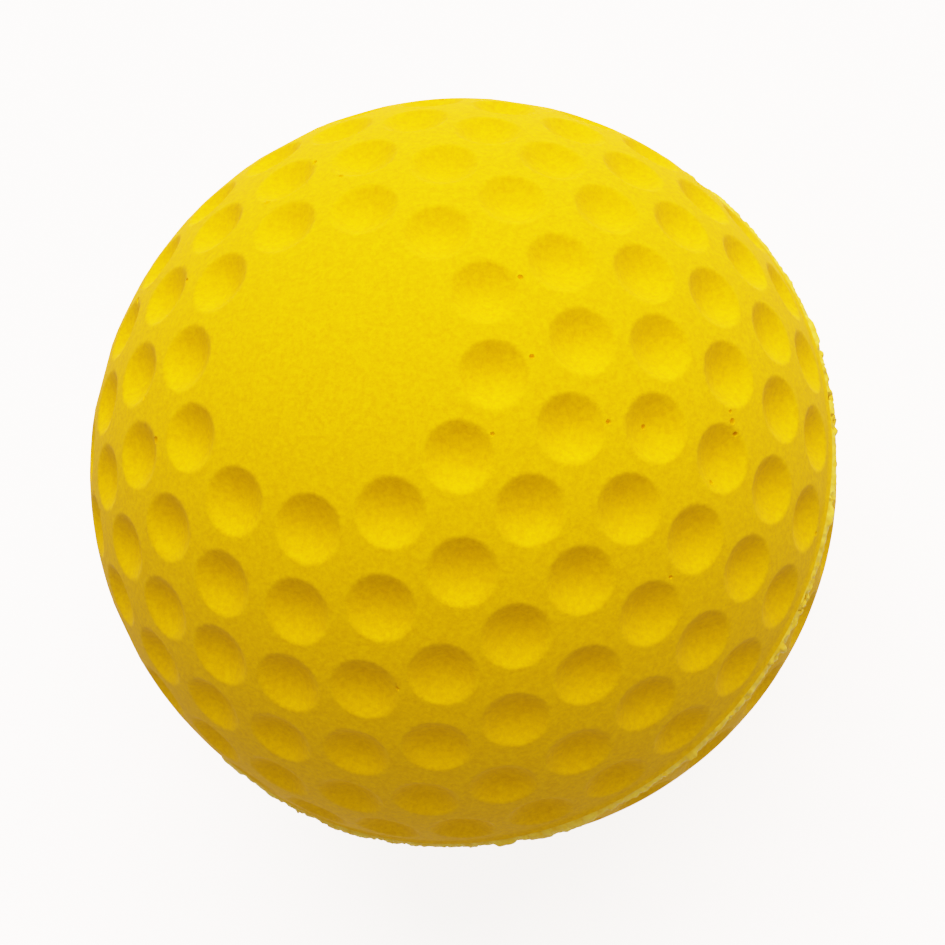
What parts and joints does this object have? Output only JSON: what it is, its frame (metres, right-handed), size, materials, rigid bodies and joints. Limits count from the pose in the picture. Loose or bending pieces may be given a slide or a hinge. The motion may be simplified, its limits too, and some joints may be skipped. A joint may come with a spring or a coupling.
{
  "type": "golf ball",
  "caption": "Moulded golf ball with rings of round dimples about one axis, a smooth panel at one pole and a fin of flash along the parting line.",
  "frame": {"origin": "centre of the ball", "axes": "+Z along the mould axis, out through the middle of the smooth panel; the parting line of the cover lies in the XY plane; +X through the middle of the first dimple of the ring beside the smooth panel"},
  "size_m": [0.0436, 0.0436, 0.0426],
  "materials": {
    "core_rubber": "matte moulded rubber",
    "mantle_plastic": "satin ionomer",
    "cover_skin": "matte moulded polyurethane skin",
    "flash_skin": "thin translucent polyurethane"
  },
  "bodies": {
    "root": {"core": "core_rubber", "mantle_front_half": "mantle_plastic", "mantle_back_half": "mantle_plastic", "cover_upper_half": "cover_skin", "cover_lower_half": "cover_skin", "seam_flash": "flash_skin"}
  },
  "joints": []
}
